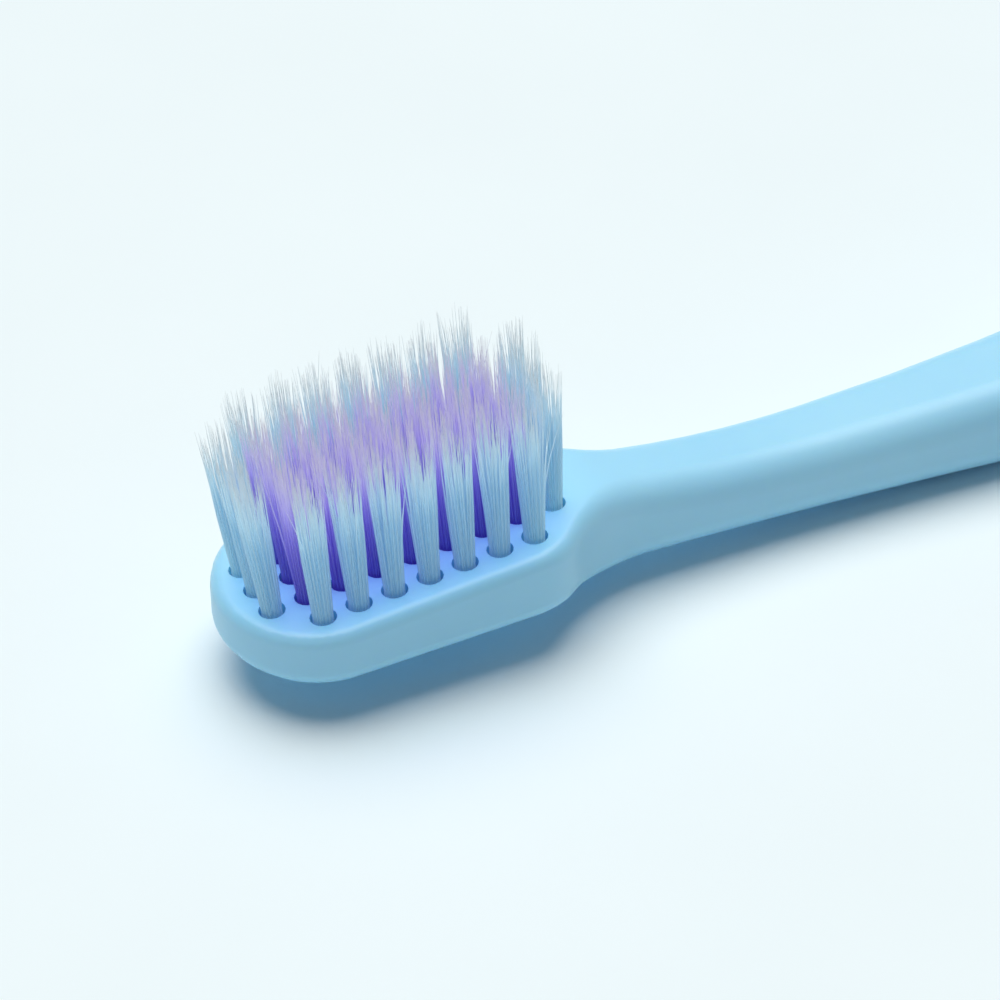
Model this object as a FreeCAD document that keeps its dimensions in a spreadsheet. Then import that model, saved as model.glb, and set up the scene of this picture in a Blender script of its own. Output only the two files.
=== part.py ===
import FreeCAD, Part
import os
from math import atan2, ceil, cos, pi, radians, sin, sqrt, tan

import Sketcher
from FreeCAD import Placement, Rotation, Vector

# Manual toothbrush lying on its back: +X from the head's tip to the handle's end,
# +Z up with the bristles, z = 0 at the surface it rests on, x = 0 half-way along.

# Driving dimensions, millimetres and degrees. A "_from_tip" is measured along X from the head's tip,
# a "_from_end" from the handle's end.
SIZES = [
    ("overall_length", 178.0, "tip of the head to the end of the handle"),
    ("head_half_width", 6.9, "half the width of the head"),
    ("tip_roundness", 1.09, "tip radius over half the head's width"),
    ("corner_roundness", 0.83, "corner radius over half the head's width"),
    ("shoulder_from_tip", 18.8, "end of the head's straight sides"),
    ("shoulder_radius", 4.0, "convex shoulder in plan"),
    ("neck_from_tip", 28.2, "narrowest place of the neck"),
    ("neck_half_width", 3.13, "half the neck's width there"),
    ("flare_share", 0.4, "share of the flare that is hollow in plan"),
    ("grip_from_tip", 105.0, "widest and thickest place of the grip"),
    ("grip_half_width", 6.1, "half the grip's width there"),
    ("end_radius", 5.2, "round end of the handle in plan"),
    ("head_tilt", 4.75, "angle of the tufted face to the resting surface"),
    ("field_from_tip", 12.05, "centre of the tuft field"),
    ("face_height", 7.4, "height of the tufted face there"),
    ("face_end_radius", 10.0, "roll-off behind the tufted face"),
    ("saddle_from_tip", 42.0, "lowest place of the neck's top"),
    ("saddle_height", 6.41, "height of the neck's top there"),
    ("saddle_radius", 80.0, "hollow of the top on the head's side"),
    ("rise_share", 0.385, "share of the top's rise that is hollow"),
    ("grip_height", 9.0, "height of the grip's top"),
    ("end_top", 7.2, "height of the top at the handle's end"),
    ("end_lift", 1.2, "height of the back at the handle's end"),
    ("flat_depth", 0.02, "depth of the flat that the brush rests on, cut into the rounded back"),
    ("flat_start_from_tip", 78.5, "start of that flat"),
    ("flat_end_from_end", 30.0, "end of that flat"),
    ("lift_radius", 600.0, "roll of the back from the flat to the neck"),
    ("neck_slope", 2.4, "angle of the neck's back to the resting surface"),
    ("heel_radius", 12.0, "hollow of the back where neck meets head"),
    ("back_radius", 8.0, "round of the head's back before the neck"),
    ("back_from_tip", 19.5, "end of the head's flat back"),
    ("back_height", 2.63, "height of the head's back at the tip"),
    ("back_tilt", 1.4, "angle of the head's back to the resting surface"),
    ("head_top_edge", 0.9, "edge rounding of the tufted face"),
    ("head_back_edge", 1.35, "edge rounding of the head's back"),
    ("neck_edge", 2.1, "edge rounding of the neck"),
    ("grip_edge", 3.0, "edge rounding of the grip"),
    ("end_edge", 2.5, "edge rounding of the handle's end"),
    ("tuft_columns", 9, "tufts along the head"),
    ("tuft_rows", 5, "tufts across the head"),
    ("column_pitch", 2.4, "spacing of the tufts along the head"),
    ("row_pitch", 2.25, "spacing of the tufts across the head"),
    ("hole_radius", 0.85, "blind hole for one tuft"),
    ("hole_sides", 16, "sides of that hole, enough to be near round"),
    ("hole_depth", 2.9, "depth of that hole"),
    ("tuft_clearance", 0.03, "gap between a tuft and its hole"),
    ("fold_height", 0.4, "filament folded under the anchor plate"),
    ("plate_thickness", 0.3, "anchor plate"),
    ("plate_height", 1.3, "anchor plate"),
    ("plate_clearance", 0.01, "gap around the anchor plate"),
    ("bristle_height", 12.0, "bristle tips above the tufted face"),
    ("split_height", 6.5, "height where a tuft opens into strands"),
    ("groove_half_width", 0.25, "half the gap between neighbouring strands at their tips"),
    ("tuft_strands", 8, "strands around a tuft, an even number"),
    ("shoulder_step", 0.95, "longest step between cross-sections over the shoulder"),
    ("saddle_step", 2.8, "longest step between them on the neck's saddle"),
    ("grip_step", 8.7, "longest step between them on the grip"),
]

OVERRUN = 2.0

doc = FreeCAD.newDocument("toothbrush")
sheet = doc.addObject("Spreadsheet::Sheet", "Sizes")
for line, (alias, number, note) in enumerate(SIZES, start=1):
    sheet.set(f"A{line}", alias.replace("_", " "))
    sheet.set(f"B{line}", str(number))
    sheet.setAlias(f"B{line}", alias)
    sheet.set(f"C{line}", note)
doc.recompute()
size = {alias: float(sheet.get(alias)) for alias, number, note in SIZES}
HALF_LENGTH = size["overall_length"] / 2
FLAT_END = HALF_LENGTH - size["flat_end_from_end"]
END_START = HALF_LENGTH - 2 * size["end_radius"]


# Sketch helpers: an outline is a chain of lines and arcs, each entered where the last one ended.
class Outline:
    def __init__(self, name, placement=Placement()):
        self.sketch = doc.addObject("Sketcher::SketchObject", name)
        self.sketch.Placement = placement
        self.first = {}
        self.last = {}

    def line(self, start, end):
        index = self.sketch.addGeometry(Part.LineSegment(Vector(*start, 0), Vector(*end, 0)))
        self.first[index], self.last[index] = 1, 2
        return index

    def arc(self, start, centre, end):
        radius = sqrt((start[0] - centre[0]) ** 2 + (start[1] - centre[1]) ** 2)
        turn_in = atan2(start[1] - centre[1], start[0] - centre[0])
        turn_out = atan2(end[1] - centre[1], end[0] - centre[0])
        anticlockwise = (turn_out - turn_in) % (2 * pi) < pi
        circle = Part.Circle(Vector(*centre, 0), Vector(0, 0, 1), radius)
        span = (turn_in, turn_out) if anticlockwise else (turn_out, turn_in)
        index = self.sketch.addGeometry(Part.ArcOfCircle(circle, *span))
        self.first[index], self.last[index] = (1, 2) if anticlockwise else (2, 1)
        return index

    def join(self, kind, *chain):
        for one, two in zip(chain, chain[1:]):
            self.sketch.addConstraint(Sketcher.Constraint(kind, one, self.last[one], two, self.first[two]))

    def fix(self, kind, *where):
        self.sketch.addConstraint(Sketcher.Constraint(kind, *where))

    def measure(self, expression, kind, *where):
        value = self.value(kind, where)
        index = self.sketch.addConstraint(Sketcher.Constraint(kind, *where, value))
        self.sketch.setExpression(f"Constraints[{index}]", expression)

    def value(self, kind, where):
        geometry = self.sketch.Geometry
        if kind == "Radius":
            return geometry[where[0]].Radius
        if kind == "Angle":
            return geometry[where[0]].toShape().Curve.Direction.getAngle(Vector(1, 0, 0))
        point = self.sketch.getPoint(*where[-2:])
        return point.x if kind == "DistanceX" else point.y

    def place(self, index, vertex, x=None, y=None):
        if x is not None:
            self.measure(x, "DistanceX", -1, 1, index, vertex)
        if y is not None:
            self.measure(y, "DistanceY", -1, 1, index, vertex)


def along(centre, towards, distance):
    step_x, step_y = towards[0] - centre[0], towards[1] - centre[1]
    reach = sqrt(step_x ** 2 + step_y ** 2)
    return centre[0] + step_x * distance / reach, centre[1] + step_y * distance / reach


def from_tip(name):
    return size[name] - HALF_LENGTH


def from_tip_expression(name):
    return f"Sizes.{name} - Sizes.overall_length / 2"


# An S made of two arcs between two level ends; returns both centres and the point where they meet.
def level_s(start, end, first_radius):
    run, drop = end[0] - start[0], end[1] - start[1]
    both = (run ** 2 + drop ** 2) / (2 * abs(drop))
    way = 1 if drop > 0 else -1
    first = (start[0], start[1] + way * first_radius)
    second = (end[0], end[1] - way * (both - first_radius))
    return first, second, along(first, second, first_radius)


# Half of the brush seen from above.
def draw_plan():
    plan = Outline("plan_outline")
    plan.sketch.setExpression("Placement.Base.z", "-Sizes.grip_height")
    half_width = size["head_half_width"]
    tip_radius = size["tip_roundness"] * half_width
    corner_radius = size["corner_roundness"] * half_width
    tip_centre = (tip_radius - HALF_LENGTH, 0.0)
    corner_y = half_width - corner_radius
    corner_x = tip_centre[0] - sqrt((tip_radius - corner_radius) ** 2 - corner_y ** 2)
    corner_centre = (corner_x, corner_y)
    tip = (-HALF_LENGTH, 0.0)
    tip_to_corner = along(tip_centre, corner_centre, tip_radius)
    corner_to_side = (corner_x, half_width)
    shoulder = (from_tip("shoulder_from_tip"), half_width)
    neck = (from_tip("neck_from_tip"), size["neck_half_width"])
    grip = (from_tip("grip_from_tip"), size["grip_half_width"])
    shoulder_centre, neck_centre, shoulder_to_neck = level_s(shoulder, neck, size["shoulder_radius"])
    flare = ((grip[0] - neck[0]) ** 2 + (grip[1] - neck[1]) ** 2) / (2 * (grip[1] - neck[1]))
    flare_centre, grip_centre, flare_to_grip = level_s(neck, grip, flare * size["flare_share"])
    end_radius = size["end_radius"]
    end_centre = (HALF_LENGTH - end_radius, 0.0)
    reach = end_centre[0] - grip[0]
    taper_radius = (reach ** 2 + grip[1] ** 2 - end_radius ** 2) / (2 * (grip[1] - end_radius))
    taper_centre = (grip[0], grip[1] - taper_radius)
    taper_to_end = along(taper_centre, end_centre, taper_radius)
    end = (HALF_LENGTH, 0.0)

    axis = plan.line(end, tip)
    tip_arc = plan.arc(tip, tip_centre, tip_to_corner)
    corner_arc = plan.arc(tip_to_corner, corner_centre, corner_to_side)
    side = plan.line(corner_to_side, shoulder)
    shoulder_arc = plan.arc(shoulder, shoulder_centre, shoulder_to_neck)
    neck_arc = plan.arc(shoulder_to_neck, neck_centre, neck)
    flare_arc = plan.arc(neck, flare_centre, flare_to_grip)
    grip_arc = plan.arc(flare_to_grip, grip_centre, grip)
    taper_arc = plan.arc(grip, taper_centre, taper_to_end)
    end_arc = plan.arc(taper_to_end, end_centre, end)

    plan.join("Tangent", tip_arc, corner_arc, side, shoulder_arc, neck_arc,
              flare_arc, grip_arc, taper_arc, end_arc)
    plan.join("Coincident", end_arc, axis, tip_arc)
    plan.fix("PointOnObject", axis, 1, -1)
    plan.fix("PointOnObject", axis, 2, -1)
    plan.fix("PointOnObject", tip_arc, 3, -1)
    plan.fix("PointOnObject", end_arc, 3, -1)
    plan.fix("Horizontal", side)
    plan.fix("Vertical", neck_arc, 3, neck_arc, plan.last[neck_arc])
    plan.fix("Vertical", grip_arc, 3, grip_arc, plan.last[grip_arc])
    plan.place(axis, 1, x="Sizes.overall_length / 2")
    plan.place(axis, 2, x="-Sizes.overall_length / 2")
    plan.measure("Sizes.tip_roundness * Sizes.head_half_width", "Radius", tip_arc)
    plan.measure("Sizes.corner_roundness * Sizes.head_half_width", "Radius", corner_arc)
    plan.place(side, 2, from_tip_expression("shoulder_from_tip"), "Sizes.head_half_width")
    plan.measure("Sizes.shoulder_radius", "Radius", shoulder_arc)
    plan.place(neck_arc, plan.last[neck_arc], from_tip_expression("neck_from_tip"), "Sizes.neck_half_width")
    run = "(Sizes.grip_from_tip - Sizes.neck_from_tip)"
    rise = "(Sizes.grip_half_width - Sizes.neck_half_width)"
    plan.measure(f"Sizes.flare_share * ({run}^2 + {rise}^2) / (2 * {rise})", "Radius", flare_arc)
    plan.place(grip_arc, plan.last[grip_arc], from_tip_expression("grip_from_tip"), "Sizes.grip_half_width")
    plan.measure("Sizes.end_radius", "Radius", end_arc)
    return plan.sketch


# The brush seen from the side: tufted face, saddle and grip on top, back and resting flat below.
def draw_profile():
    side_on = Placement(Vector(0, 0, 0), Rotation(Vector(1, 0, 0), 90))
    profile = Outline("side_profile", side_on)
    front, rear = -HALF_LENGTH - OVERRUN, HALF_LENGTH + OVERRUN
    tilt = radians(size["head_tilt"])
    field = (from_tip("field_from_tip"), size["face_height"])
    saddle = (from_tip("saddle_from_tip"), size["saddle_height"])
    saddle_centre = (saddle[0], saddle[1] + size["saddle_radius"])

    # roll-off arc under the face line and outside the saddle arc
    roll = size["face_end_radius"]
    off_x = field[0] + roll * sin(tilt) - saddle_centre[0]
    off_z = field[1] - roll * cos(tilt) - saddle_centre[1]
    slide = off_x * cos(tilt) + off_z * sin(tilt)
    gap = (size["saddle_radius"] + roll) ** 2 - off_x ** 2 - off_z ** 2
    face_run = -slide - sqrt(slide ** 2 + gap)
    face_end = (field[0] + face_run * cos(tilt), field[1] + face_run * sin(tilt))
    roll_centre = (face_end[0] + roll * sin(tilt), face_end[1] - roll * cos(tilt))
    roll_to_saddle = along(roll_centre, saddle_centre, roll)
    face_start = (front, field[1] + (front - field[0]) * tan(tilt))

    grip = (from_tip("grip_from_tip"), size["grip_height"])
    rise = ((grip[0] - saddle[0]) ** 2 + (grip[1] - saddle[1]) ** 2) / (2 * (grip[1] - saddle[1]))
    rise_centre, grip_centre, rise_to_grip = level_s(saddle, grip, rise * size["rise_share"])
    fall = grip[1] - size["end_top"]
    fall_radius = ((rear - grip[0]) ** 2 + fall ** 2) / (2 * fall)
    end_top = (rear, size["end_top"])
    end_back = (rear, size["end_lift"])
    flat_z = -size["flat_depth"]
    flat_end = (FLAT_END, flat_z)
    lift = size["end_lift"] - flat_z
    lift_radius = ((rear - flat_end[0]) ** 2 + lift ** 2) / (2 * lift)
    flat_start = (from_tip("flat_start_from_tip"), flat_z)
    slope = radians(size["neck_slope"])
    neck_roll = size["lift_radius"]
    slope_start = (flat_start[0] - neck_roll * sin(slope), flat_z + neck_roll * (1 - cos(slope)))

    # the head's back, then an S of two arcs down to the neck's sloping back
    back = radians(size["back_tilt"])
    back_rise = tan(back)
    back_start = (front, size["back_height"] - OVERRUN * back_rise)
    back_end = (from_tip("back_from_tip"), size["back_height"] + size["back_from_tip"] * back_rise)
    back_round, heel = size["back_radius"], size["heel_radius"]
    round_centre = (back_end[0] + back_round * sin(back), back_end[1] - back_round * cos(back))
    off_x = slope_start[0] + heel * sin(slope) - round_centre[0]
    off_z = slope_start[1] + heel * cos(slope) - round_centre[1]
    slide = -off_x * cos(slope) + off_z * sin(slope)
    gap = (back_round + heel) ** 2 - off_x ** 2 - off_z ** 2
    slope_run = -slide - sqrt(slide ** 2 + gap)
    slope_end = (slope_start[0] - slope_run * cos(slope), slope_start[1] + slope_run * sin(slope))
    heel_centre = (slope_end[0] + heel * sin(slope), slope_end[1] + heel * cos(slope))
    round_to_heel = along(round_centre, heel_centre, back_round)

    face = profile.line(face_start, face_end)
    roll_arc = profile.arc(face_end, roll_centre, roll_to_saddle)
    saddle_arc = profile.arc(roll_to_saddle, saddle_centre, saddle)
    rise_arc = profile.arc(saddle, rise_centre, rise_to_grip)
    grip_arc = profile.arc(rise_to_grip, grip_centre, grip)
    fall_arc = profile.arc(grip, (grip[0], grip[1] - fall_radius), end_top)
    end_line = profile.line(end_top, end_back)
    lift_arc = profile.arc(end_back, (flat_end[0], flat_z + lift_radius), flat_end)
    flat = profile.line(flat_end, flat_start)
    neck_roll_arc = profile.arc(flat_start, (flat_start[0], flat_z + neck_roll), slope_start)
    slope_line = profile.line(slope_start, slope_end)
    heel_arc = profile.arc(slope_end, heel_centre, round_to_heel)
    round_arc = profile.arc(round_to_heel, round_centre, back_end)
    back_line = profile.line(back_end, back_start)
    front_line = profile.line(back_start, face_start)

    profile.join("Tangent", face, roll_arc, saddle_arc, rise_arc, grip_arc, fall_arc)
    profile.join("Coincident", fall_arc, end_line, lift_arc)
    profile.join("Tangent", lift_arc, flat, neck_roll_arc, slope_line, heel_arc, round_arc, back_line)
    profile.join("Coincident", back_line, front_line, face)
    profile.fix("Vertical", end_line)
    profile.fix("Vertical", front_line)
    profile.fix("Horizontal", flat)
    profile.fix("Vertical", saddle_arc, 3, saddle_arc, profile.last[saddle_arc])
    profile.fix("Vertical", grip_arc, 3, grip_arc, profile.last[grip_arc])
    profile.place(front_line, 2, f"-Sizes.overall_length / 2 - {OVERRUN}",
                  f"Sizes.face_height - (Sizes.field_from_tip + {OVERRUN}) * tan(Sizes.head_tilt * 1 deg)")
    profile.measure("Sizes.head_tilt * 1 deg", "Angle", face)
    profile.measure("Sizes.face_end_radius", "Radius", roll_arc)
    profile.place(saddle_arc, profile.last[saddle_arc],
                  from_tip_expression("saddle_from_tip"), "Sizes.saddle_height")
    profile.measure("Sizes.saddle_radius", "Radius", saddle_arc)
    run = "(Sizes.grip_from_tip - Sizes.saddle_from_tip)"
    climb = "(Sizes.grip_height - Sizes.saddle_height)"
    profile.measure(f"Sizes.rise_share * ({run}^2 + {climb}^2) / (2 * {climb})", "Radius", rise_arc)
    profile.place(grip_arc, profile.last[grip_arc], from_tip_expression("grip_from_tip"), "Sizes.grip_height")
    profile.place(end_line, 1, f"Sizes.overall_length / 2 + {OVERRUN}", "Sizes.end_top")
    profile.place(end_line, 2, y="Sizes.end_lift")
    profile.place(flat, 1, "Sizes.overall_length / 2 - Sizes.flat_end_from_end", "-Sizes.flat_depth")
    profile.place(flat, 2, x=from_tip_expression("flat_start_from_tip"))
    profile.measure("Sizes.lift_radius", "Radius", neck_roll_arc)
    profile.measure("180 deg - Sizes.neck_slope * 1 deg", "Angle", slope_line)
    profile.measure("Sizes.heel_radius", "Radius", heel_arc)
    profile.measure("Sizes.back_radius", "Radius", round_arc)
    profile.place(back_line, 1, from_tip_expression("back_from_tip"))
    profile.place(back_line, 2, y=f"Sizes.back_height - {OVERRUN} * tan(Sizes.back_tilt * 1 deg)")
    profile.measure("180 deg + Sizes.back_tilt * 1 deg", "Angle", back_line)
    return profile.sketch


# The blank: plan and side profile pushed through each other, one half of it.
def extrude(name, sketch, direction, length, symmetric):
    block = doc.addObject("Part::Extrusion", name)
    block.Base = sketch
    block.DirMode = "Custom"
    block.Dir = direction
    block.Solid = True
    block.Symmetric = symmetric
    block.setExpression("LengthFwd", length)
    return block


def build_half_blank():
    plan_block = extrude("plan_block", draw_plan(), Vector(0, 0, 1), "3 * Sizes.grip_height", False)
    profile_block = extrude("profile_block", draw_profile(), Vector(0, 1, 0),
                            "4 * Sizes.head_half_width", True)
    half_blank = doc.addObject("Part::MultiCommon", "half_blank")
    half_blank.Shapes = [plan_block, profile_block]
    doc.recompute()
    return half_blank


# Edge rounding along the brush: steady around the head, growing over the shoulder to the grip.
def edge_radius(x, head_edge):
    places = [
        (size["shoulder_from_tip"], size[head_edge]),
        (size["neck_from_tip"], size["neck_edge"]),
        (size["grip_from_tip"], size["grip_edge"]),
        (HALF_LENGTH + END_START, size["end_edge"]),
    ]
    distance = x + HALF_LENGTH
    for (near, near_edge), (far, far_edge) in zip(places, places[1:]):
        if distance <= far:
            return near_edge + (far_edge - near_edge) * (distance - near) / (far - near)
    return places[-1][1]


def is_upright(face):
    u_low, u_high, v_low, v_high = face.ParameterRange
    return abs(face.normalAt((u_low + u_high) / 2, (v_low + v_high) / 2).z) < 1e-6


# Rim edges run between an upright wall and the top or the back; the cut faces keep theirs sharp.
def rim_edges(shape, cut_x, top_radius, back_radius):
    rim = []
    for index, edge in enumerate(shape.Edges, start=1):
        walls = [face for face in shape.ancestorsOfType(edge, Part.Face) if is_upright(face)]
        on_middle = all(abs(vertex.Y) < 1e-6 for vertex in edge.Vertexes)
        on_cut = all(abs(vertex.X - cut_x) < 1e-6 for vertex in edge.Vertexes)
        if len(walls) == 1 and not on_middle and not on_cut:
            on_top = edge.CenterOfMass.z > walls[0].CenterOfMass.z
            radius = top_radius if on_top else back_radius
            rim.append((index, radius, radius))
    return rim


# The head and the round end: a length of the blank with one steady rounding all the way round.
def rounded_length(name, half_blank, start, length, cut_x, top_radius, back_radius):
    window = doc.addObject("Part::Box", f"{name}_window")
    window.setExpression("Length", length)
    window.setExpression("Width", "2 * Sizes.head_half_width")
    window.setExpression("Height", "4 * Sizes.grip_height")
    window.setExpression("Placement.Base.x", start)
    window.setExpression("Placement.Base.z", "-Sizes.grip_height")
    sharp = doc.addObject("Part::MultiCommon", f"{name}_sharp")
    sharp.Shapes = [half_blank, window]
    doc.recompute()
    rounded = doc.addObject("Part::Fillet", name)
    rounded.Base = sharp
    rounded.Edges = rim_edges(sharp.Shape, cut_x, top_radius, back_radius)
    doc.recompute()
    return rounded


def cut_face_outline(shape, cut_x):
    for face in shape.Faces:
        if all(abs(vertex.X - cut_x) < 1e-6 for vertex in face.Vertexes):
            return face.OuterWire
    raise RuntimeError("the cut face was not found")


# Half of a cross-section: a rectangle as wide and deep as the blank there, with its outer corners rounded.
def half_section(half_blank, x):
    corners = [vertex.Point for wire in half_blank.Shape.slice(Vector(1, 0, 0), x) for vertex in wire.Vertexes]
    wall = max(point.y for point in corners)
    back = min(point.z for point in corners)
    top = max(point.z for point in corners)
    back_edge = edge_radius(x, "head_back_edge")
    top_edge = edge_radius(x, "head_top_edge")

    def corner(start, centre_z, radius, direction, end):
        bulge = Vector(x, wall - radius + radius * sqrt(0.5), centre_z + direction * radius * sqrt(0.5))
        return Part.Arc(start, bulge, end).toShape()

    back_middle, back_inner = Vector(x, 0, back), Vector(x, wall - back_edge, back)
    wall_low, wall_high = Vector(x, wall, back + back_edge), Vector(x, wall, top - top_edge)
    top_inner, top_middle = Vector(x, wall - top_edge, top), Vector(x, 0, top)
    return Part.Wire([
        Part.makeLine(back_middle, back_inner),
        corner(back_inner, back + back_edge, back_edge, -1, wall_low),
        Part.makeLine(wall_low, wall_high),
        corner(wall_high, top - top_edge, top_edge, 1, top_inner),
        Part.makeLine(top_inner, top_middle),
        Part.makeLine(top_middle, back_middle),
    ])


# Where the cross-sections stand: closest over the shoulder, and one at each change of curve.
def stations():
    stretches = [
        (from_tip("neck_from_tip"), size["shoulder_step"]),
        (from_tip("saddle_from_tip"), size["saddle_step"]),
        (from_tip("flat_start_from_tip"), size["grip_step"]),
        (from_tip("grip_from_tip"), size["grip_step"]),
        (FLAT_END, size["grip_step"]),
        (END_START, size["grip_step"]),
    ]
    start = from_tip("shoulder_from_tip")
    for end, longest_step in stretches:
        steps = ceil((end - start) / longest_step)
        for step in range(1, steps + 1):
            yield start + (end - start) * step / steps
        start = end


# Head, neck with grip, and round end share their cut faces, so they join into one moulding.
def build_blank():
    half_blank = build_half_blank()
    head_x = from_tip("shoulder_from_tip")
    half_head = rounded_length("half_head", half_blank, "-Sizes.overall_length", "Sizes.overall_length / 2"
                               " + Sizes.shoulder_from_tip", head_x,
                               size["head_top_edge"], size["head_back_edge"])
    half_end = rounded_length("half_end", half_blank, "Sizes.overall_length / 2 - 2 * Sizes.end_radius",
                              "Sizes.overall_length", END_START, size["end_edge"], size["end_edge"])
    sections = [half_section(half_blank, x) for x in stations()]
    sections = [cut_face_outline(half_head.Shape, head_x)] + sections[:-1]
    sections = sections + [cut_face_outline(half_end.Shape, END_START)]
    half_neck = doc.addObject("Part::Feature", "half_neck")
    half_neck.Shape = Part.makeLoft(sections, True, True)
    half_handle = doc.addObject("Part::MultiFuse", "half_handle")
    half_handle.Shapes = [half_head, half_neck, half_end]
    other_half = doc.addObject("Part::Mirroring", "other_half")
    other_half.Source = half_handle
    other_half.Normal = Vector(0, 1, 0)
    round_blank = doc.addObject("Part::MultiFuse", "round_blank")
    round_blank.Shapes = [half_handle, other_half]
    round_blank.Refine = True
    blank = doc.addObject("Part::Cut", "blank")
    blank.Base = round_blank
    blank.Tool = build_resting_surface()
    doc.recompute()
    return blank


# What lies below z = 0, where the back is cut flat.
def build_resting_surface():
    ground = doc.addObject("Part::Box", "resting_surface")
    ground.setExpression("Length", "2 * Sizes.overall_length")
    ground.setExpression("Width", "4 * Sizes.head_half_width")
    ground.setExpression("Height", "Sizes.grip_height")
    ground.setExpression("Placement.Base.x", "-Sizes.overall_length")
    ground.setExpression("Placement.Base.y", "-2 * Sizes.head_half_width")
    ground.setExpression("Placement.Base.z", "-Sizes.grip_height")
    return ground


# Tuft places on the tilted face, counted from the tip and from -Y; the four corners stay empty.
def tuft_places():
    columns, rows = int(size["tuft_columns"]), int(size["tuft_rows"])
    for row in range(rows):
        for column in range(columns):
            on_end = column in (0, columns - 1)
            on_side = row in (0, rows - 1)
            if not (on_end and on_side):
                yield row, column, on_end or on_side


def seat(piece, row, column):
    piece.Placement = Placement(Vector(0, 0, 0), Rotation(Vector(0, 1, 0), -size["head_tilt"]))
    run = f"({column} - (Sizes.tuft_columns - 1) / 2) * Sizes.column_pitch"
    field = "Sizes.field_from_tip - Sizes.overall_length / 2"
    piece.setExpression("Placement.Base.x", f"{field} + {run} * cos(Sizes.head_tilt * 1 deg)")
    piece.setExpression("Placement.Base.y", f"({row} - (Sizes.tuft_rows - 1) / 2) * Sizes.row_pitch")
    piece.setExpression("Placement.Base.z", f"Sizes.face_height + {run} * sin(Sizes.head_tilt * 1 deg)")
    piece.setExpression("Placement.Rotation.Angle", "-Sizes.head_tilt * 1 deg")


# The compound keeps the master's own offset from the face, whatever placement the copy is given.
def seated_copy(name, master, row, column):
    piece = doc.addObject("Part::Feature", name)
    piece.Shape = Part.Compound([master.Shape])
    seat(piece, row, column)
    return piece


def build_hole_tool():
    bore = doc.addObject("Part::Prism", "hole_tool")
    bore.setExpression("Polygon", "Sizes.hole_sides")
    bore.setExpression("Circumradius", "Sizes.hole_radius")
    bore.setExpression("Height", "Sizes.hole_depth + Sizes.head_top_edge")
    bore.setExpression("Placement.Base.z", "-Sizes.hole_depth")
    return bore


# An anchor plate stands across the hole from wall to wall, above the fold of the tuft.
def plate_block(name, width, allowance):
    block = doc.addObject("Part::Box", name)
    thickness = f"(Sizes.plate_thickness + 2 * {allowance})"
    block.setExpression("Length", width)
    block.setExpression("Width", thickness)
    block.setExpression("Height", f"Sizes.plate_height + 2 * {allowance}")
    block.setExpression("Placement.Base.x", f"-({width}) / 2")
    block.setExpression("Placement.Base.y", f"-{thickness} / 2")
    block.setExpression("Placement.Base.z", f"Sizes.fold_height - Sizes.hole_depth - {allowance}")
    return block


# A wedge-shaped gap across the tuft's top, ridge down, from one corner of the bundle to the opposite one.
def build_groove(number):
    groove = doc.addObject("Part::Wedge", f"groove_{number}")
    groove.setExpression("Xmin", "-Sizes.groove_half_width")
    groove.setExpression("Xmax", "Sizes.groove_half_width")
    groove.X2min, groove.X2max = 0, 0
    groove.setExpression("Ymin", "-Sizes.bristle_height")
    groove.setExpression("Ymax", "-Sizes.split_height")
    for lower, upper in (("Zmin", "Zmax"), ("Z2min", "Z2max")):
        groove.setExpression(lower, "-2 * Sizes.hole_radius")
        groove.setExpression(upper, "2 * Sizes.hole_radius")
    upright = Rotation(Vector(1, 0, 0), -90)
    turn = 360 * number / size["tuft_strands"] - 90
    groove.Placement = Placement(Vector(0, 0, 0), Rotation(Vector(0, 0, 1), turn).multiply(upright))
    return groove


# One tuft: a bundle folded round its plate in the hole and opening into pointed strands.
def build_tuft():
    bundle = doc.addObject("Part::Prism", "bundle")
    bundle.setExpression("Polygon", "Sizes.tuft_strands")
    bundle.setExpression("Circumradius", "Sizes.hole_radius - Sizes.tuft_clearance")
    bundle.setExpression("Height", "Sizes.hole_depth - Sizes.tuft_clearance + Sizes.bristle_height")
    bundle.setExpression("Placement.Base.z", "Sizes.tuft_clearance - Sizes.hole_depth")
    plate_room = plate_block("plate_room", "4 * Sizes.hole_radius", "Sizes.plate_clearance")
    openings = doc.addObject("Part::MultiFuse", "tuft_openings")
    openings.Shapes = [plate_room] + [build_groove(number) for number in range(int(size["tuft_strands"]) // 2)]
    tuft = doc.addObject("Part::Cut", "tuft")
    tuft.Base = bundle
    tuft.Tool = openings
    return tuft


# Handle with its tuft holes, the tufts, and the plates that hold them.
def build_brush():
    blank = build_blank()
    corner_loss = "Sizes.plate_thickness / 2 * tan(180 deg / Sizes.hole_sides)"
    wall_to_wall = f"2 * (Sizes.hole_radius - {corner_loss} - Sizes.plate_clearance)"
    plate = plate_block("plate", wall_to_wall, "0")
    hole_tool = build_hole_tool()
    tuft = build_tuft()
    doc.recompute()

    tufts, holes, plates = [], [], []
    for row, column, on_rim in tuft_places():
        colour = "pale" if on_rim else "purple"
        place = f"row{row + 1}_col{column + 1}"
        tufts.append(seated_copy(f"{colour}_tuft_{place}", tuft, row, column))
        holes.append(seated_copy(f"hole_{place}", hole_tool, row, column))
        plates.append(seated_copy(f"plate_{place}", plate, row, column))
    all_holes = doc.addObject("Part::Compound", "all_holes")
    all_holes.Links = holes
    handle = doc.addObject("Part::Cut", "handle")
    handle.Base = blank
    handle.Tool = all_holes
    anchor_plates = doc.addObject("Part::Compound", "anchor_plates")
    anchor_plates.Links = plates
    doc.recompute()
    return [handle] + tufts + [anchor_plates]


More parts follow.
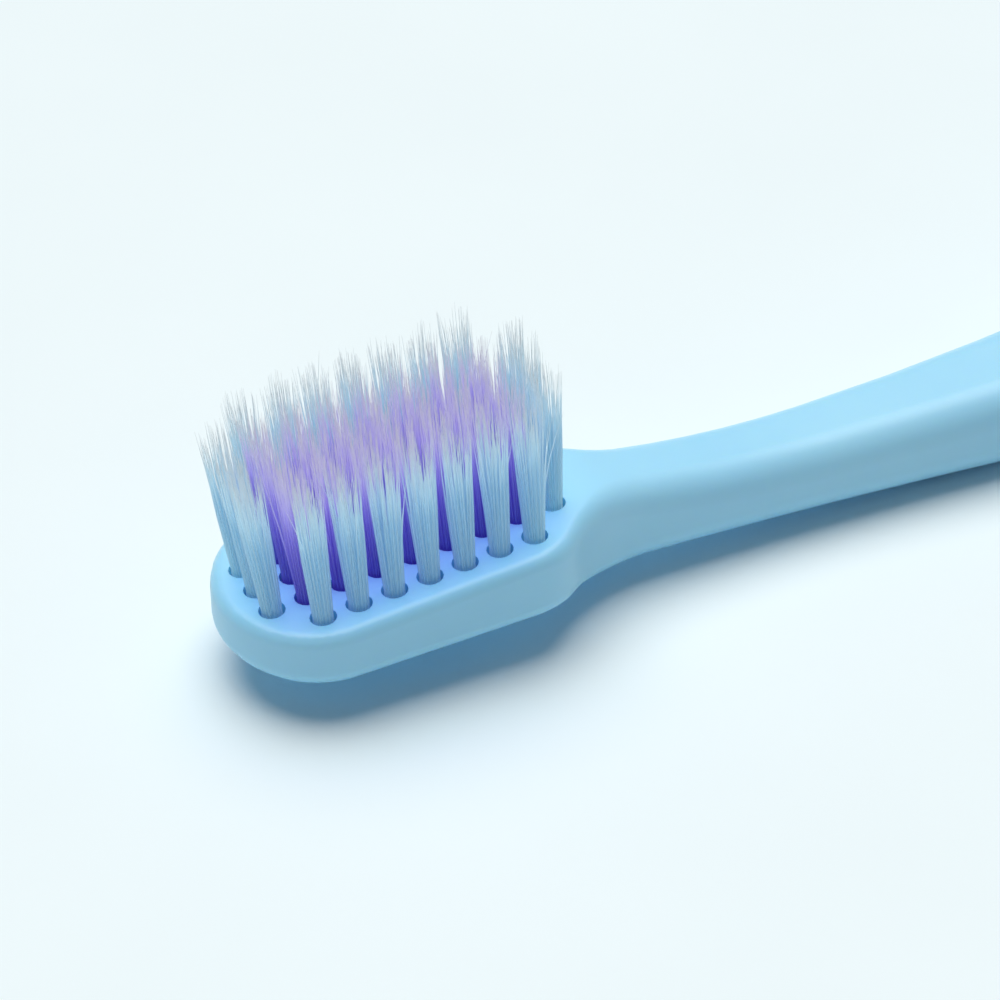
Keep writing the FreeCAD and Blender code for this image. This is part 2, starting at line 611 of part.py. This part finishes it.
def check(pieces):
    for thing in doc.Objects:
        if "Invalid" in thing.State or "Error" in thing.State:
            raise RuntimeError(f"{thing.Name} did not build: {thing.State}")
    for piece in pieces:
        if piece.Shape.isNull() or not piece.Shape.isValid() or not piece.Shape.Solids:
            raise RuntimeError(f"{piece.Label} is not a sound solid")


sub_parts = build_brush()
check(sub_parts)
os.makedirs("parts", exist_ok=True)
for sub_part in sub_parts:
    sub_part.Shape.exportStep(f"parts/{sub_part.Label}.step")
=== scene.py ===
import random
from math import cos, hypot, pi, radians, sin, sqrt

import bpy
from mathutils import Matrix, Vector


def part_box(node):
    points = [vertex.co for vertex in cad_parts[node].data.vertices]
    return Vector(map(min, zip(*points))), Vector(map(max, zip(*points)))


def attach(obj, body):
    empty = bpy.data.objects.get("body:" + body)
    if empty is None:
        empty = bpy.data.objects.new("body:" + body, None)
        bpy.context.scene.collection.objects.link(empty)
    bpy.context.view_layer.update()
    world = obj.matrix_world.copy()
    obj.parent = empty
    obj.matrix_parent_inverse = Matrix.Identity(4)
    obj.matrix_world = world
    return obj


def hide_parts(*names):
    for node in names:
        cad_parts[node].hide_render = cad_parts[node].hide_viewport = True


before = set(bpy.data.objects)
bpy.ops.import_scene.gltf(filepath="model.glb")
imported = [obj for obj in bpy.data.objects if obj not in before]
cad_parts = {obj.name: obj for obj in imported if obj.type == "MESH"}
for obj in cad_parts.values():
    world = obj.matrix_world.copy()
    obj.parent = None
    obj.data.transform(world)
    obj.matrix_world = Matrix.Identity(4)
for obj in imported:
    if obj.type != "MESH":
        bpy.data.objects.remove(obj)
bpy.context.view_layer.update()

# Sizes are in metres, in the frame of the CAD model.
MM = 0.001

# Tufts and anchor plates, as their solids have them. Heights are from the mouth of the hole.
TUFT_RADIUS = 0.82 * MM
ROOT_DEPTH = 2.87 * MM
PLATE_HALF_THICKNESS = 0.15 * MM
PLATE_BOTTOM = -2.5 * MM
COLUMNS, ROWS = 9, 5

# Filaments: each is folded once under its anchor plate and has two ends.
FOLDED_FILAMENTS = 40
FILAMENT_RADIUS = 0.07 * MM
FILAMENT_SIDES = 4
FOLD_LAYERS = 3
FOLD_GAP = 1.2
LEG_HEIGHT = 0.3 * MM
MOUTH_RADIUS = 0.63 * MM
FLARE = 0.05

# Ends: taper, length, bend, strays, and the locks that they gather into.
TIP_RADIUS = 0.006 * MM
TAPER_START = 0.5
TAPER_POWER = 1.8
TALLEST = 11.4 * MM
LENGTH_LOSS = 1.7 * MM
LENGTH_LOSS_POWER = 1.6
BEND_SPREAD = 0.14 * MM
STRAY_SHARE = 0.03
STRAY_BEND = 5
LOCKS = 7
LOCK_LOSS = 0.9 * MM
LOCK_PULL = 0.5
RING_SHARES = (0.0, 0.42, 0.62, 0.8, 1.0)
GOLDEN_ANGLE = pi * (3 - sqrt(5))

# Each filament has its own strip of the tuft's map, with a bare share at both edges.
STRIP_EDGE = 0.1

# How filaments take light: share that shows light from behind, share of the lamp's light let through.
TRANSLUCENT_SHARE = 0.7
LAMP_LIGHT_THROUGH = 0.975

# Outward lean of the outer tufts at their tips, as a slope.
TIP_LEAN = -0.048
REAR_LEAN = 0.01
SIDE_LEAN = 0.025

# Camera, fitted to the grid of tufts. Lens and sensor are in millimetres.
CAMERA_PLACE = Vector((-156.6, -170.8, 151.5)) * MM
CAMERA_FORWARD = Vector((0.362, 0.713, -0.600))
CAMERA_LENS = 138.24
CAMERA_SENSOR = 36.0
CAMERA_NEAR = 10 * MM

# Light: strengths, spread of the key and the way it shines.
KEY_LIGHT = 2.92
KEY_SPREAD = radians(56)
KEY_DIRECTION = Vector((-0.03, -0.19, -0.7))
FILL_LIGHT = 0.13
DIFFUSE_BOUNCES = 8
CLEAR_BOUNCES = 32

# Handle shading and floor.
SMOOTH_ANGLE = radians(30)
WELD_DISTANCE = 1e-7
FLOOR_REACH = 3.0


def srgb(red, green, blue):
    def linear(value):
        share = value / 255
        return share / 12.92 if share <= 0.04045 else ((share + 0.055) / 1.055) ** 2.4

    return linear(red), linear(green), linear(blue), 1.0


# Colours
PLASTIC_TONES = [(0.3, srgb(163, 223, 254)), (0.7, srgb(169, 227, 255))]
BRASS_TONES = [(0.35, srgb(205, 168, 96)), (0.65, srgb(222, 188, 118))]
FLOOR_TONES = [(0.3, srgb(236, 246, 248)), (0.7, srgb(238, 248, 250))]
BACKDROP = srgb(238, 247, 250)
# Filament colour by height from root to tip: each filament's own tint, with painted shade making it
# darker low in the tuft and painted light making it paler towards the tips.
PALE_TINT_AND_SHADE_STOPS = [
    (0.0, srgb(230, 248, 253)),
    (0.5, srgb(217, 238, 248)),
    (0.8, srgb(236, 249, 254)),
    (1.0, srgb(249, 253, 255)),
]
PURPLE_TINT_AND_SHADE_STOPS = [
    (0.0, srgb(190, 177, 240)),
    (0.4, srgb(213, 203, 248)),
    (0.75, srgb(240, 236, 255)),
    (1.0, srgb(251, 251, 255)),
]
PALE_LAMP_TINT = srgb(246, 251, 253)
PURPLE_LAMP_TINT = srgb(240, 238, 252)


# A node material with short calls for its usual nodes.
class Material:
    def __init__(self, name):
        self.material = bpy.data.materials.new(name)
        self.material.use_nodes = True
        self.tree = self.material.node_tree
        self.tree.nodes.clear()
        self.output = self.tree.nodes.new("ShaderNodeOutputMaterial")

    def node(self, kind, **inputs):
        made = self.tree.nodes.new(kind)
        for name, value in inputs.items():
            made.inputs[name.replace("_", " ")].default_value = value
        return made

    def link(self, source, target):
        self.tree.links.new(source, target)

    def ramp(self, source, stops):
        made = self.tree.nodes.new("ShaderNodeValToRGB")
        elements = made.color_ramp.elements
        while len(elements) < len(stops):
            elements.new(0.5)
        for element, (place, colour) in zip(elements, stops):
            element.position = place
            element.color = colour
        self.link(source, made.inputs["Fac"])
        return made.outputs["Color"]

    def noise(self, coordinates, scale, detail=3.0):
        made = self.node("ShaderNodeTexNoise", Scale=scale, Detail=detail)
        self.link(coordinates, made.inputs["Vector"])
        return made.outputs["Fac"]

    def spread(self, source, low, high):
        made = self.node("ShaderNodeMapRange", To_Min=low, To_Max=high)
        self.link(source, made.inputs["Value"])
        return made.outputs["Result"]

    def bump(self, height, strength, distance):
        made = self.node("ShaderNodeBump", Strength=strength, Distance=distance)
        self.link(height, made.inputs["Height"])
        return made.outputs["Normal"]


# Light blue moulded plastic: even colour, satin skin, a little light passing under the surface.
def handle_plastic():
    made = Material("light_blue_plastic")
    place = made.node("ShaderNodeTexCoord").outputs["Object"]
    shader = made.node("ShaderNodeBsdfPrincipled", IOR=1.49, Subsurface_Weight=0.2,
                       Subsurface_Scale=1.2 * MM)
    shader.inputs["Subsurface Radius"].default_value = (0.5, 0.9, 1.6)
    tone = made.ramp(made.noise(place, scale=60), PLASTIC_TONES)
    made.link(tone, shader.inputs["Base Color"])
    gloss = made.spread(made.noise(place, scale=900), low=0.3, high=0.4)
    made.link(gloss, shader.inputs["Roughness"])
    grain = made.bump(made.noise(place, scale=2500, detail=2.0), strength=0.08, distance=0.02 * MM)
    made.link(grain, shader.inputs["Normal"])
    made.link(shader.outputs["BSDF"], made.output.inputs["Surface"])
    return made.material


# Translucent filament whose colour changes from root to tip and a little from filament to filament; the
# change from root to tip is its own tint with painted shade low in the tuft and painted light towards the
# tips.
def filament(name, stops, lamp_tint):
    made = Material(name)
    rise = made.node("ShaderNodeAttribute")
    rise.attribute_name = "rise"
    # Colour by height: own tint with painted shade low in the tuft and painted light towards the tips.
    colour = made.ramp(rise.outputs["Fac"], stops)
    own = made.node("ShaderNodeNewGeometry").outputs["Random Per Island"]
    tone = made.node("ShaderNodeHueSaturation")
    made.link(colour, tone.inputs["Color"])
    made.link(made.spread(own, low=0.94, high=1.0), tone.inputs["Value"])
    place = made.node("ShaderNodeTexCoord").outputs["Object"]
    skin = made.node("ShaderNodeBsdfPrincipled", IOR=1.53)
    made.link(tone.outputs["Color"], skin.inputs["Base Color"])
    gloss = made.spread(made.noise(place, scale=1500), low=0.42, high=0.58)
    made.link(gloss, skin.inputs["Roughness"])
    inside = made.node("ShaderNodeBsdfTranslucent")
    made.link(tone.outputs["Color"], inside.inputs["Color"])
    both = made.node("ShaderNodeMixShader", Fac=TRANSLUCENT_SHARE)
    made.link(skin.outputs["BSDF"], both.inputs[1])
    made.link(inside.outputs["BSDF"], both.inputs[2])
    clear = made.node("ShaderNodeBsdfTransparent", Color=lamp_tint)
    lamp_ray = made.node("ShaderNodeLightPath").outputs["Is Shadow Ray"]
    whole = made.node("ShaderNodeMixShader")
    made.link(made.spread(lamp_ray, low=0.0, high=LAMP_LIGHT_THROUGH), whole.inputs["Fac"])
    made.link(both.outputs["Shader"], whole.inputs[1])
    made.link(clear.outputs["BSDF"], whole.inputs[2])
    made.link(whole.outputs["Shader"], made.output.inputs["Surface"])
    return made.material


# Brass wire with slight changes of tone and gloss.
def anchor_brass():
    made = Material("anchor_brass")
    place = made.node("ShaderNodeTexCoord").outputs["Object"]
    shader = made.node("ShaderNodeBsdfPrincipled", Metallic=1.0)
    tone = made.ramp(made.noise(place, scale=2000), BRASS_TONES)
    made.link(tone, shader.inputs["Base Color"])
    gloss = made.spread(made.noise(place, scale=4000), low=0.25, high=0.4)
    made.link(gloss, shader.inputs["Roughness"])
    made.link(shader.outputs["BSDF"], made.output.inputs["Surface"])
    return made.material


def floor_sheet():
    made = Material("pale_floor")
    place = made.node("ShaderNodeTexCoord").outputs["Object"]
    shader = made.node("ShaderNodeBsdfPrincipled", Roughness=0.8, Specular_IOR_Level=0.1)
    tone = made.ramp(made.noise(place, scale=40), FLOOR_TONES)
    made.link(tone, shader.inputs["Base Color"])
    made.link(shader.outputs["BSDF"], made.output.inputs["Surface"])
    return made.material


# Where the tufts stand: the root's right-hand corner is a place that every tuft's solid keeps sharp.
def root_corner(node):
    low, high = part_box(node)
    return Vector((high[0], (low[1] + high[1]) / 2, low[2]))


ALONG = (root_corner("pale_tuft_row3_col9") - root_corner("pale_tuft_row3_col1")).normalized()
ACROSS = Vector((0, 1, 0))
UP = ALONG.cross(ACROSS)


def mouth(node):
    root = root_corner(node) + Vector((-ALONG.x, 0, ALONG.z)) * TUFT_RADIUS
    return root + UP * ROOT_DEPTH


# Even spread of the filament ends over a round tuft, each paired with one on the plate's other side.
def folded_pairs():
    ends = []
    for index in range(2 * FOLDED_FILAMENTS):
        reach = sqrt((index + 0.5) / (2 * FOLDED_FILAMENTS))
        turn = index * GOLDEN_ANGLE
        ends.append((reach * cos(turn), reach * sin(turn)))
    ends.sort(key=lambda end: end[1])
    near = sorted(ends[:FOLDED_FILAMENTS])
    far = sorted(ends[FOLDED_FILAMENTS:])
    return list(zip(near, far))


# Locks that the ends of a tuft gather into: the middle of each, and how much shorter it is.
def tuft_locks():
    start = random.uniform(0, 2 * pi)
    locks = []
    for index in range(LOCKS):
        reach = sqrt((index + 0.5) / LOCKS)
        turn = start + index * GOLDEN_ANGLE
        locks.append((reach * cos(turn), reach * sin(turn), LOCK_LOSS * random.random()))
    return locks


# One end of a filament from beside the plate to its tip: (along, across, up, radius, rise) at each ring.
def end_rings(end, side, lean, locks):
    a, b = end
    lock = min(locks, key=lambda near: hypot(near[0] - a, near[1] - b))
    height = TALLEST - lock[2] - LENGTH_LOSS * random.random() ** LENGTH_LOSS_POWER
    swing = BEND_SPREAD * (STRAY_BEND if random.random() < STRAY_SHARE else 1)
    bend = random.gauss(0, swing), random.gauss(0, swing)
    beside = PLATE_HALF_THICKNESS + FILAMENT_RADIUS + abs(b) * (MOUTH_RADIUS - PLATE_HALF_THICKNESS)
    rings = [(a * MOUTH_RADIUS, side * beside, PLATE_BOTTOM + LEG_HEIGHT, FILAMENT_RADIUS, 0.0)]
    for share in RING_SHARES:
        up = share * height
        reach = MOUTH_RADIUS + FLARE * up
        pull = LOCK_PULL * share ** 2
        along = (a + (lock[0] - a) * pull) * reach + lean[0] * up + bend[0] * share ** 2
        across = (b + (lock[1] - b) * pull) * reach + lean[1] * up + bend[1] * share ** 2
        left = min(1.0, (1 - share) / (1 - TAPER_START))
        radius = TIP_RADIUS + (FILAMENT_RADIUS - TIP_RADIUS) * left ** TAPER_POWER
        rings.append((along, across, up, radius, share))
    return rings


# A whole filament: down from one tip, round under the plate, and up to the other.
def filament_rings(pair, layer, lean, locks):
    near, far = pair
    fold = PLATE_BOTTOM - FILAMENT_RADIUS * (FOLD_GAP + layer)
    down = end_rings(near, -1, lean, locks)[::-1]
    up = end_rings(far, 1, lean, locks)
    turn = [
        (near[0] * MOUTH_RADIUS, -PLATE_HALF_THICKNESS, fold, FILAMENT_RADIUS, 0.0),
        (far[0] * MOUTH_RADIUS, PLATE_HALF_THICKNESS, fold, FILAMENT_RADIUS, 0.0),
    ]
    return down + turn + up


# All filaments of one tuft, gathered into one mesh.
class Bundle:
    def __init__(self):
        self.points = []
        self.faces = []
        self.rises = []
        self.maps = []

    # A tube along the rings, closed at both ends; its strip of the map runs from end to end.
    def add(self, seat, rings, strip):
        centres = [seat + ALONG * a + ACROSS * b + UP * c for a, b, c, radius, rise in rings]
        first = len(self.points)
        last = len(rings) - 1
        for index, (centre, ring) in enumerate(zip(centres, rings)):
            heading = (centres[min(index + 1, last)] - centres[max(index - 1, 0)]).normalized()
            wide = (ALONG - heading * ALONG.dot(heading)).normalized()
            deep = heading.cross(wide)
            for side in range(FILAMENT_SIDES):
                turn = 2 * pi * side / FILAMENT_SIDES
                self.points.append(centre + (wide * cos(turn) + deep * sin(turn)) * ring[3])
                self.rises.append(ring[4])
        for index in range(last):
            for side in range(FILAMENT_SIDES):
                low, high = first + index * FILAMENT_SIDES, first + (index + 1) * FILAMENT_SIDES
                after = (side + 1) % FILAMENT_SIDES
                self.faces.append((low + side, low + after, high + after, high + side))
                left, right = self.column(strip, side), self.column(strip, side + 1)
                below, above = index / last, (index + 1) / last
                self.maps.append([(left, below), (right, below), (right, above), (left, above)])
        for index, order in ((0, -1), (last, 1)):
            start = first + index * FILAMENT_SIDES
            cap = list(range(start, start + FILAMENT_SIDES))[::order]
            self.faces.append(tuple(cap))
            self.maps.append([(self.column(strip, side), index / last) for side in range(FILAMENT_SIDES)])

    def column(self, strip, side):
        width = 1 - 2 * STRIP_EDGE
        return (strip + STRIP_EDGE + width * side / FILAMENT_SIDES) / FOLDED_FILAMENTS

    def build(self, name, material):
        mesh = bpy.data.meshes.new(name)
        mesh.from_pydata(self.points, [], self.faces)
        mesh.attributes.new("rise", "FLOAT", "POINT").data.foreach_set("value", self.rises)
        chart = mesh.uv_layers.new(name="OFBake")
        chart.data.foreach_set("uv", [value for face in self.maps for corner in face for value in corner])
        mesh.shade_smooth()
        mesh.materials.append(material)
        piece = bpy.data.objects.new(name, mesh)
        bpy.context.scene.collection.objects.link(piece)
        return piece


# Lean of a tuft by its place in the field, as slopes along and across the head.
def tuft_lean(row, column):
    middle_row, middle_column = (ROWS + 1) / 2, (COLUMNS + 1) / 2
    to_tip = max(0.0, (middle_column - column) / (middle_column - 1))
    to_rear = max(0.0, (column - middle_column) / (COLUMNS - middle_column))
    to_side = (row - middle_row) / (middle_row - 1)
    return TIP_LEAN * to_tip ** 3 + REAR_LEAN * to_rear ** 3, SIDE_LEAN * to_side


def build_tufts(materials):
    pairs = folded_pairs()
    for node in sorted(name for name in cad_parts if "_tuft_" in name):
        colour, place = node.split("_tuft_row")
        row, column = (int(number) for number in place.split("_col"))
        lean = tuft_lean(row, column)
        locks = tuft_locks()
        bundle = Bundle()
        for index, pair in enumerate(pairs):
            bundle.add(mouth(node), filament_rings(pair, index % FOLD_LAYERS, lean, locks), index)
        piece = bundle.build(f"{node}_filaments", materials[colour])
        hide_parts(node)
        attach(piece, "root")


def dress(node, material):
    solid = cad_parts[node]
    solid.data.materials.clear()
    solid.data.materials.append(material)
    return solid


# One even skin over the moulding: faces that meet at less than this angle shade as one surface.
def smooth_skin(solid, angle):
    group = bpy.data.node_groups.new("smooth_skin", "GeometryNodeTree")
    group.interface.new_socket("Geometry", in_out="INPUT", socket_type="NodeSocketGeometry")
    group.interface.new_socket("Geometry", in_out="OUTPUT", socket_type="NodeSocketGeometry")
    start = group.nodes.new("NodeGroupInput")
    weld = group.nodes.new("GeometryNodeMergeByDistance")
    weld.inputs["Distance"].default_value = WELD_DISTANCE
    edge = group.nodes.new("GeometryNodeInputMeshEdgeAngle")
    sharp = group.nodes.new("FunctionNodeCompare")
    sharp.inputs["B"].default_value = angle
    normals = group.nodes.new("GeometryNodeSetMeshNormal")
    normals.inputs["Remove Custom"].default_value = True
    normals.inputs["Face Sharpness"].default_value = False
    end = group.nodes.new("NodeGroupOutput")
    group.links.new(start.outputs[0], weld.inputs["Geometry"])
    group.links.new(edge.outputs["Unsigned Angle"], sharp.inputs["A"])
    group.links.new(sharp.outputs["Result"], normals.inputs["Edge Sharpness"])
    group.links.new(weld.outputs["Geometry"], normals.inputs["Mesh"])
    group.links.new(normals.outputs["Mesh"], end.inputs[0])
    solid.modifiers.new("smooth_skin", "NODES").node_group = group
    even = solid.modifiers.new("even_skin", "WEIGHTED_NORMAL")
    even.keep_sharp = True


def build_stage():
    mesh = bpy.data.meshes.new("floor")
    signs = ((-1, -1), (1, -1), (1, 1), (-1, 1))
    corners = [(along * FLOOR_REACH, across * FLOOR_REACH, 0) for along, across in signs]
    mesh.from_pydata(corners, [], [(0, 1, 2, 3)])
    mesh.materials.append(floor_sheet())
    floor = bpy.data.objects.new("floor", mesh)
    bpy.context.scene.collection.objects.link(floor)


# A broad soft key from above and behind, a weak even fill, and the floor's own colour above the horizon.
def build_lights():
    world = bpy.data.worlds.new("studio")
    world.use_nodes = True
    tree = world.node_tree
    sky = tree.nodes["Background"]
    sky.inputs["Color"].default_value = BACKDROP
    seen = tree.nodes.new("ShaderNodeMapRange")
    seen.inputs["To Min"].default_value = FILL_LIGHT
    tree.links.new(tree.nodes.new("ShaderNodeLightPath").outputs["Is Camera Ray"], seen.inputs["Value"])
    tree.links.new(seen.outputs["Result"], sky.inputs["Strength"])
    bpy.context.scene.world = world
    key = bpy.data.lights.new("key", "SUN")
    key.energy = KEY_LIGHT
    key.angle = KEY_SPREAD
    key.cycles.use_multiple_importance_sampling = False
    lamp = bpy.data.objects.new("key", key)
    lamp.rotation_euler = KEY_DIRECTION.to_track_quat("-Z", "Y").to_euler()
    bpy.context.scene.collection.objects.link(lamp)
    bpy.context.scene.cycles.transparent_max_bounces = CLEAR_BOUNCES
    bpy.context.scene.cycles.diffuse_bounces = DIFFUSE_BOUNCES


def build_camera():
    lens = bpy.data.cameras.new("camera")
    lens.lens = CAMERA_LENS
    lens.sensor_width = CAMERA_SENSOR
    lens.clip_start = CAMERA_NEAR
    camera = bpy.data.objects.new("camera", lens)
    camera.location = CAMERA_PLACE
    camera.rotation_euler = CAMERA_FORWARD.to_track_quat("-Z", "Y").to_euler()
    bpy.context.scene.collection.objects.link(camera)
    bpy.context.scene.camera = camera


random.seed(41)
build_tufts({
    "pale": filament("pale_filament", PALE_TINT_AND_SHADE_STOPS, PALE_LAMP_TINT),
    "purple": filament("purple_filament", PURPLE_TINT_AND_SHADE_STOPS, PURPLE_LAMP_TINT),
})
smooth_skin(dress("handle", handle_plastic()), SMOOTH_ANGLE)
dress("anchor_plates", anchor_brass())
build_stage()
build_lights()
build_camera()
bpy.context.scene.view_settings.view_transform = "Standard"
